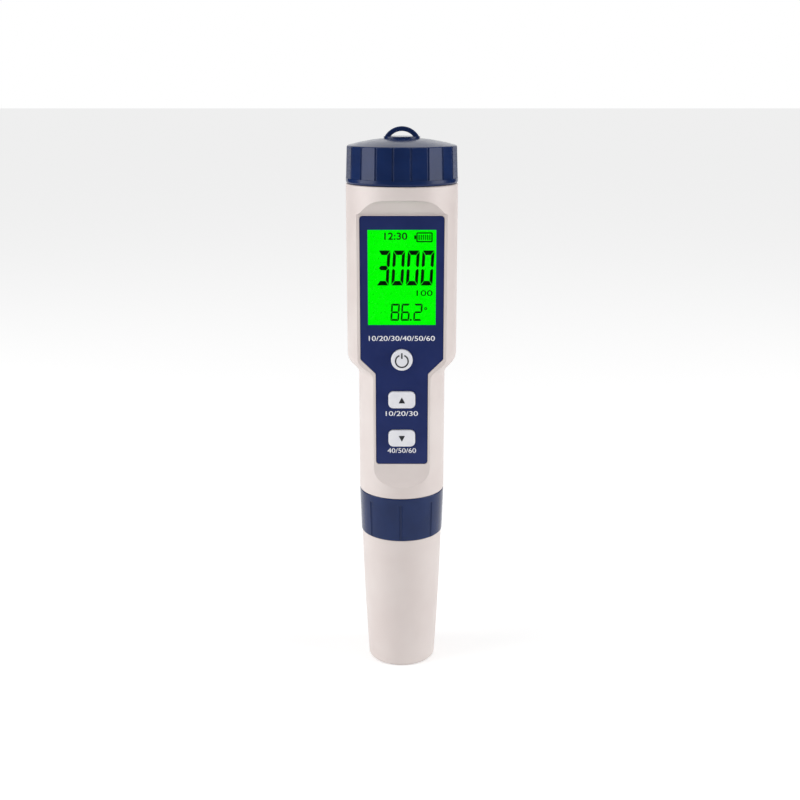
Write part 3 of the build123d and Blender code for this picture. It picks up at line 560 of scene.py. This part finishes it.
small = {"low": 129.4, "width": 2.9, "height": 5.9, "level": 0.62, "upright": 0.55}
point_left, point_low, point_right, point_high = 2.75, 129.4, 3.35, 130.05
small_digits = bmesh.new()
for figure, left in (("8", -3.9), ("6", -0.4), ("2", 3.85)):
    add_digit(small_digits, figure, left, **small)
flat_bar(small_digits, point_left, point_low, point_right, point_high)
stand_up(small_digits, lcd_front)
piece_from(small_digits, "lcd_small_digits", lcd_black, "meter")

# %% [markdown]
# **Battery sign and degree ring.** The battery sign is a rounded frame, a nub on its left and six
# thin bars. The frame is one face, its corners bevelled and inset, with the middle taken out. The
# degree ring is a short line spun right round. Each could be cut out of a bigger shape, but cuts
# leave ragged faces, and growing the shape from its outline keeps them clean.

# %% Helper for rings
STEP_DEGREES = 9


def ring(shape, x, y, inner, outer, start_degrees=0, sweep_degrees=360):
    """A flat ring, or an open arc of one, spun from a short line."""
    first = math.radians(start_degrees)
    ends = [
        shape.verts.new(((x + r * math.cos(first)) * MM, (y + r * math.sin(first)) * MM, 0))
        for r in (inner, outer)
    ]
    line = shape.edges.new(ends)
    bmesh.ops.spin(
        shape,
        geom=ends + [line],
        cent=(x * MM, y * MM, 0),
        axis=(0, 0, 1),
        angle=math.radians(sweep_degrees),
        steps=round(sweep_degrees / STEP_DEGREES),
        use_merge=sweep_degrees == 360,
    )


# %% Battery sign and degree ring
# All in millimetres, from the middle of the pen and from the table.
case_left, case_low, case_right, case_high = 4.85, 156.2, 10.3, 159.5
case_corner, case_wall = 0.4, 0.42
nub_left, nub_low, nub_right, nub_high = 4.15, 157.2, 4.8, 158.5
bar_left, bar_low, bar_high, bar_width, bar_step = 5.6, 157.0, 158.7, 0.35, 0.72
degree_x, degree_y, degree_inner, degree_outer = 8.1, 133.6, 0.22, 0.5

signs = bmesh.new()
case_corners = flat_bar(signs, case_left, case_low, case_right, case_high)
bmesh.ops.bevel(
    signs,
    geom=case_corners,
    affect="VERTICES",
    offset=case_corner * MM,
    segments=4,
    profile=0.5,
    material=-1,
)
case_middle = signs.faces[:]
bmesh.ops.inset_region(signs, faces=case_middle, thickness=case_wall * MM, use_boundary=True)
bmesh.ops.delete(signs, geom=case_middle, context="FACES")
flat_bar(signs, nub_left, nub_low, nub_right, nub_high)
for index in range(6):
    left = bar_left + bar_step * index
    flat_bar(signs, left, bar_low, left + bar_width, bar_high)
ring(signs, degree_x, degree_y, degree_inner, degree_outer)
stand_up(signs, lcd_front)
piece_from(signs, "lcd_battery_sign", lcd_black, "meter")

# %% [markdown]
# **Plain numbers.** The small print on the display and the lines of print on the panel are plain
# numbers. Blender's own letter shapes are turned to a mesh first, then fitted to the width and
# height of the line, so that no measure depends on the font.


# %% Helper for print
FONT_SIZE_SHARE = 1.4  # of the line's height, before it is fitted


def printed(text, name, left, right, low, high, front_y, material, slot, weight_mm=0.0):
    """A line of print fitted into a box of the front view, given in millimetres."""
    curve = bpy.data.curves.new(name, "FONT")
    curve.body = text
    curve.size = FONT_SIZE_SHARE * (high - low) * MM
    curve.offset = weight_mm * MM
    maker = bpy.data.objects.new(name + "_outline", curve)
    bpy.context.scene.collection.objects.link(maker)
    graph = bpy.context.evaluated_depsgraph_get()
    outline = bpy.data.meshes.new_from_object(maker.evaluated_get(graph))
    bpy.data.objects.remove(maker)
    shape = bmesh.new()
    shape.from_mesh(outline)
    bmesh.ops.remove_doubles(shape, verts=shape.verts, dist=0.001 * MM)
    xs, ys = [v.co.x for v in shape.verts], [v.co.y for v in shape.verts]
    bmesh.ops.translate(shape, vec=(-min(xs), -min(ys), 0), verts=shape.verts)
    fit = ((right - left) * MM / (max(xs) - min(xs)), (high - low) * MM / (max(ys) - min(ys)), 1)
    bmesh.ops.scale(shape, vec=fit, verts=shape.verts)
    bmesh.ops.translate(shape, vec=(left * MM, low * MM, 0), verts=shape.verts)
    stand_up(shape, front_y)
    piece_from(shape, name, material, "meter")


# %% Printed numbers
on_display = {"front_y": lcd_front, "material": lcd_black, "slot": "lcd"}
clock_box = {"left": -5.9, "right": 1.8, "low": 157.0, "high": 159.4}
printed("12:30", "lcd_clock_numbers", **clock_box, weight_mm=0.06, **on_display)
range_box = {"left": 5.0, "right": 10.4, "low": 138.0, "high": 139.9}
printed("100", "lcd_range_number", **range_box, **on_display)

panel_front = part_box("front_panel")[0].y
on_panel = {"front_y": panel_front, "material": white_ink, "slot": "panel", "weight_mm": 0.015}
panel_line_height = 1.75
for text, name, half_width, low in (
    ("10/20/30/40/50/60", "panel_numbers_upper", 11.3, 122.6),
    ("10/20/30", "panel_numbers_middle", 5.6, 95.9),
    ("40/50/60", "panel_numbers_lower", 5.0, 82.4),
):
    printed(text, name, -half_width, half_width, low, low + panel_line_height, **on_panel)

# %% [markdown]
# **Signs on the keys.** Each sign is printed on its key, so it rides on the key and sinks with it.
# The power sign is an open ring with an upright bar, and the arrows are triangles with corners that
# the ink has rounded a little.


# %% Power sign
def key_middle(node):
    """The height of a key's middle in millimetres, and the depth of its face in metres."""
    low_corner, high_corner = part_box(node)
    return (low_corner.z + high_corner.z) / 2 / MM, low_corner.y


power_z, key_front = key_middle("power_button")
# In millimetres, counted up or down from the middle of the key.
ring_drop, ring_inner, ring_outer, ring_gap_degrees = 0.3, 1.92, 2.4, 46
stroke_half, stroke_low, stroke_high = 0.24, 0.55, 2.5
power_sign = bmesh.new()
ring(
    power_sign,
    0,
    power_z - ring_drop,
    ring_inner,
    ring_outer,
    start_degrees=90 + ring_gap_degrees / 2,
    sweep_degrees=360 - ring_gap_degrees,
)
flat_bar(power_sign, -stroke_half, power_z + stroke_low, stroke_half, power_z + stroke_high)
stand_up(power_sign, key_front)
piece_from(power_sign, "power_key_sign", key_ink, "power_key")

# %% Arrow signs
ARROW_HALF_WIDTH, ARROW_HALF_HEIGHT, ARROW_CORNER = 1.12, 1.07, 0.14  # in millimetres


def arrow_sign(node, name, body, up):
    """A small triangle in the middle of an arrow key."""
    middle, front = key_middle(node)
    tip = ARROW_HALF_HEIGHT if up else -ARROW_HALF_HEIGHT
    base = middle - tip
    sign = bmesh.new()
    triangle = [(-ARROW_HALF_WIDTH, base), (ARROW_HALF_WIDTH, base), (0, middle + tip)]
    bmesh.ops.bevel(
        sign,
        geom=flat_face(sign, triangle),
        affect="VERTICES",
        offset=ARROW_CORNER * MM,
        segments=3,
        profile=0.5,
        material=-1,
    )
    stand_up(sign, front)
    piece_from(sign, name, key_ink, body)


arrow_sign("up_button", "up_key_sign", "up_key", True)
arrow_sign("down_button", "down_key_sign", "down_key", False)

# %% [markdown]
# **Threads.** The battery cap and the collar are screwed on, by three turns of 3 mm each. The frame
# leaves the threads plain, so the outer ones are made here: the section of a ridge is spun round
# the tube while it climbs. The section starts just inside the tube's wall, so that no light shows
# under it, and its crest stays clear of the bore that turns round it. A bump could fake a thread,
# but it stands out from the outline once the cap is off, so it is real geometry.


# %% Screw threads
THREAD_PITCH_MM = 3.0
STEPS_A_TURN = 48
SUNK_MM = 0.05  # how far the foot of the ridge lies inside the wall
FOOT_MM, CREST_LOW_MM, CREST_HIGH_MM = 1.35, 0.5, 0.85  # heights on the section of the ridge


def thread(name, root_mm, crest_mm, low_mm, turns):
    """A helical ridge round the Z axis, with a section that narrows to its crest."""
    shape = bmesh.new()
    foot = root_mm - SUNK_MM
    section = [(foot, 0.0), (crest_mm, CREST_LOW_MM), (crest_mm, CREST_HIGH_MM), (foot, FOOT_MM)]
    corners = [shape.verts.new((0, -radius * MM, (low_mm + z) * MM)) for radius, z in section]
    sides = [shape.edges.new((corners[i - 1], corners[i])) for i in range(len(corners))]
    steps = round(STEPS_A_TURN * turns)
    bmesh.ops.spin(
        shape,
        geom=corners + sides,
        cent=(0, 0, 0),
        axis=(0, 0, 1),
        dvec=(0, 0, THREAD_PITCH_MM * MM * turns / steps),
        angle=math.radians(360 * turns),
        steps=steps,
    )
    bmesh.ops.holes_fill(shape, edges=[edge for edge in shape.edges if edge.is_boundary])
    piece_from(shape, name, satin_abs, "meter", smooth=True)


neck_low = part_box("cap_neck_seal")[1].z / MM
thread("cap_neck_thread", root_mm=15.4, crest_mm=16.1, low_mm=neck_low + 0.5, turns=1.35)
spigot_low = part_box("housing")[0].z / MM
thread("spigot_thread", root_mm=13.1, crest_mm=13.7, low_mm=spigot_low + 1.0, turns=1.9)

# %% [markdown]
# **Floor and room.** The floor is a plain white card that carries the pen's shadow. The room lights
# everything evenly at a plain level. Where the camera, a reflection or a view through glass meets
# the room, it is pure white, and for those rays alone the floor glows a little too. Near the pen
# that makes it white. Far off, where the lamps don't reach, it stays a trace darker than the room.


# %% Share of rays that look at the background
def looking_rays(owner):
    """One for camera, glossy and transmission rays, nought for the rays that carry light."""
    path = add(owner, "LightPath").outputs
    value = path["Is Camera Ray"]
    for name in ("Is Glossy Ray", "Is Transmission Ray"):
        value = add(owner, "Math", {0: value, 1: path[name]}, operation="MAXIMUM").outputs[0]
    return value


# %% Floor
floor_half_width, floor_glow = 12, 0.3
floor_shape = bmesh.new()
bmesh.ops.create_grid(floor_shape, x_segments=1, y_segments=1, size=floor_half_width)
floor_mesh = bpy.data.meshes.new("floor")
floor_shape.to_mesh(floor_mesh)
floor_shape.free()
floor = bpy.data.objects.new("floor", floor_mesh)
bpy.context.scene.collection.objects.link(floor)
floor_card = finish_named("white_floor_card", "F4F4F4", 0.9, Specular_IOR_Level=0.0)
surface_of(floor_card).inputs["Emission Color"].default_value = (1, 1, 1, 1)
floor_sockets = {"Value": looking_rays(floor_card), "To Min": 0.0, "To Max": floor_glow}
lift = add(floor_card, "MapRange", floor_sockets).outputs["Result"]
floor_card.node_tree.links.new(lift, surface_of(floor_card).inputs["Emission Strength"])
floor_mesh.materials.append(floor_card)
print("floor half width in metres:", floor_half_width)

# %% Room light
room_light, room_seen = 0.62, 1.0
world = bpy.data.worlds.new("pale_studio")
bpy.context.scene.world = world
world.use_nodes = True
sky = world.node_tree.nodes["Background"]
sky.inputs["Color"].default_value = (1, 1, 1, 1)
world_sockets = {"Value": looking_rays(world), "To Min": room_light, "To Max": room_seen}
level = add(world, "MapRange", world_sockets).outputs["Result"]
world.node_tree.links.new(level, sky.inputs["Strength"])
print("room light:", room_light, "room as seen:", room_seen)

# %% [markdown]
# **Lamps and flags.** Two upright soft boxes light the pen from its left and right. A navy gloss
# shows only what it mirrors, and among white walls it would look grey. A photographer stands black
# cards, called flags, round such an object, and so do we: one in front and one behind each
# shoulder. They are seen only in reflections and through clear plastic, and they take no light
# away. The display needs the second part: what its glass mirrors comes out through the pane, and
# would otherwise be white and wash out the green.


# %% Soft boxes
def place_round(item, azimuth, distance, height):
    """Stands a lamp or card round the pen. Azimuth 0 is the camera's side, positive to its right."""
    turn = math.radians(azimuth)
    item.location = (distance * math.sin(turn), -distance * math.cos(turn), height)
    bpy.context.scene.collection.objects.link(item)


def soft_box(name, azimuth, distance, height, width, tall, power):
    """A rectangular lamp that looks at the middle of the pen."""
    lamp_data = bpy.data.lights.new(name, "AREA")
    lamp_data.shape = "RECTANGLE"
    lamp_data.size = width
    lamp_data.size_y = tall
    lamp_data.energy = power
    lamp = bpy.data.objects.new(name, lamp_data)
    place_round(lamp, azimuth, distance, height)
    pen_middle = Vector((0, 0, 0.1))
    lamp.rotation_euler = (pen_middle - lamp.location).to_track_quat("-Z", "Y").to_euler()
    print(name, "watts:", power)


soft_box("soft_box_left", -76, distance=0.8, height=0.25, width=0.55, tall=0.9, power=4.2)
soft_box("soft_box_right", 78, distance=0.8, height=0.25, width=0.45, tall=0.9, power=3.4)

# %% Flags
black_card = finish_named("black_flag_card", "050505", 1.0, Specular_IOR_Level=0.0)


def flag(name, azimuth, distance, width, tall, foot=0.0):
    """A black card that only reflections and glass see; foot is its reach back over the floor."""
    # A square card of one metre is scaled to its size and stood up just above the floor.
    shape = bmesh.new()
    verts = bmesh.ops.create_grid(shape, x_segments=1, y_segments=1, size=0.5)["verts"]
    bmesh.ops.scale(shape, vec=(width, tall, 1), verts=verts)
    bmesh.ops.rotate(shape, matrix=Matrix.Rotation(math.radians(90), 3, "X"), verts=verts)
    bmesh.ops.translate(shape, vec=(0, 0, tall / 2 + MM), verts=verts)
    if foot:
        low_edge = [edge for edge in shape.edges if all(v.co.z < 2 * MM for v in edge.verts)]
        grown = bmesh.ops.extrude_edge_only(shape, edges=low_edge)["geom"]
        corners = [part for part in grown if isinstance(part, bmesh.types.BMVert)]
        bmesh.ops.translate(shape, vec=(0, foot, 0), verts=corners)
    mesh = bpy.data.meshes.new(name)
    shape.to_mesh(mesh)
    shape.free()
    mesh.materials.append(black_card)
    card = bpy.data.objects.new(name, mesh)
    place_round(card, azimuth, distance, 0)
    card.rotation_euler = (0, 0, math.radians(azimuth))
    for ray in ("camera", "diffuse", "volume_scatter", "shadow"):
        setattr(card, "visible_" + ray, False)
    print(name, "at azimuth", azimuth)


flag("front_flag", 0, distance=0.45, width=1.1, tall=1.2, foot=0.23)
flag("left_flag", -122, distance=0.55, width=0.42, tall=1.0)
flag("right_flag", 122, distance=0.55, width=0.42, tall=1.0)
